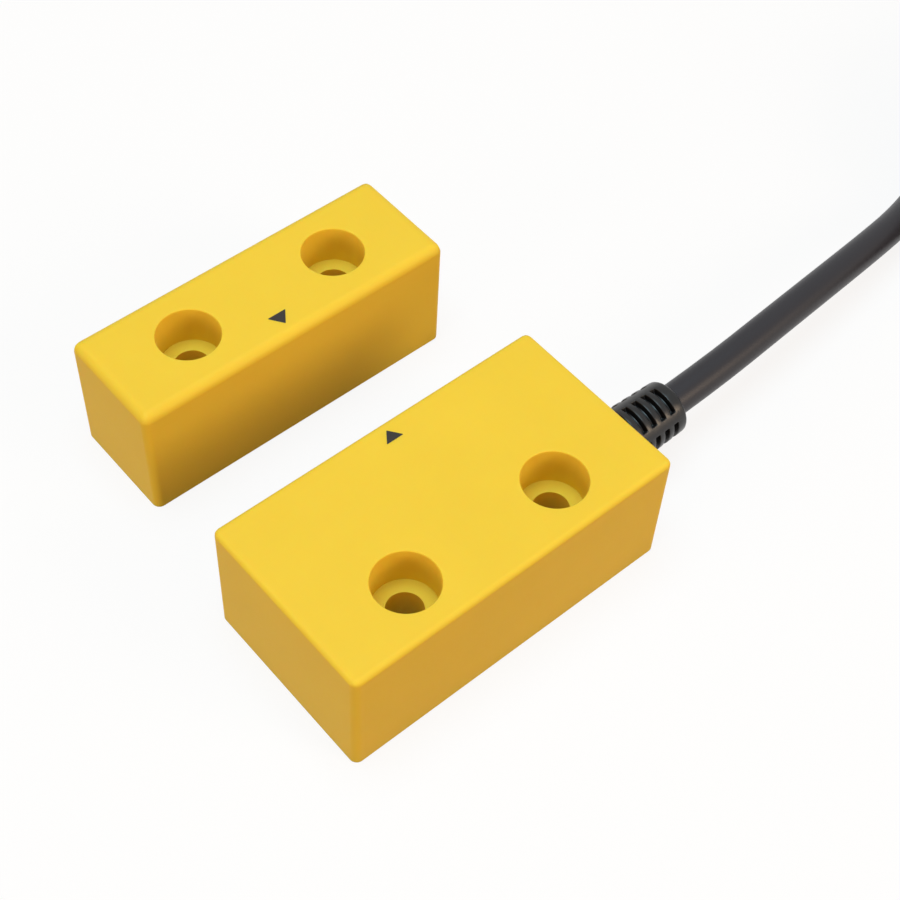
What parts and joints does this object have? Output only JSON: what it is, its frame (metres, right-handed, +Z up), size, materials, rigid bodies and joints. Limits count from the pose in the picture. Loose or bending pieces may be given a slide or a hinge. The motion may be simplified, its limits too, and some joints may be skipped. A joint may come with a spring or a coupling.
{
  "type": "non contact safety switch",
  "caption": "Non contact safety switch: a yellow sensor block with a ribbed strain relief and black cable, and a narrower actuator block that faces it, each with counterbored fixing holes.",
  "frame": {"origin": "midway between the sensor's fixing holes, on its mounting plane", "axes": "+X along the blocks towards the cable, +Y from the sensor to the actuator, +Z up"},
  "size_m": [0.1832, 0.0902, 0.0175],
  "materials": {
    "housing_plastic": "satin moulded",
    "cover_plastic": "moulded",
    "potting_resin": "poured",
    "board_laminate": "solder mask",
    "reed_glass": "clear green",
    "reed_metal": "plated",
    "chip_ceramic": "fired",
    "core_brown": "extruded",
    "core_blue": "extruded",
    "core_black": "extruded",
    "core_white": "extruded",
    "crimp_brass": "plain",
    "boot_rubber": "satin moulded",
    "cable_sheath": "extruded satin",
    "tie_nylon": "moulded",
    "tinned_copper": "tinned",
    "carrier_nylon": "moulded",
    "magnet_nickel": "nickel plated"
  },
  "bodies": {
    "sensor": {"sensor_housing": "housing_plastic", "sensor_base_cover": "cover_plastic", "sensor_resin_layer": "potting_resin", "circuit_board": "board_laminate", "reed_glass_1": "reed_glass", "reed_blades_1": "reed_metal", "reed_glass_2": "reed_glass", "reed_blades_2": "reed_metal", "series_resistor_1": "chip_ceramic", "series_resistor_2": "chip_ceramic", "core_brown": "core_brown", "core_blue": "core_blue", "core_black": "core_black", "core_white": "core_white", "cable_crimp": "crimp_brass", "strain_relief_boot": "boot_rubber", "cable_jacket": "cable_sheath", "cable_coil": "cable_sheath", "cable_tie": "tie_nylon", "lead_brown": "core_brown", "lead_blue": "core_blue", "lead_black": "core_black", "lead_white": "core_white", "lead_tips": "tinned_copper"},
    "actuator": {"actuator_housing": "housing_plastic", "actuator_base_cover": "cover_plastic", "actuator_resin_layer": "potting_resin", "magnet_carrier": "carrier_nylon", "magnet_1": "magnet_nickel", "magnet_2": "magnet_nickel"}
  },
  "joints": [
    {"name": "actuator_approach", "type": "slide", "parent": "sensor", "child": "actuator", "axis": [0, 1, 0], "range_m": [-0.0162, 0.0128]}
  ]
}
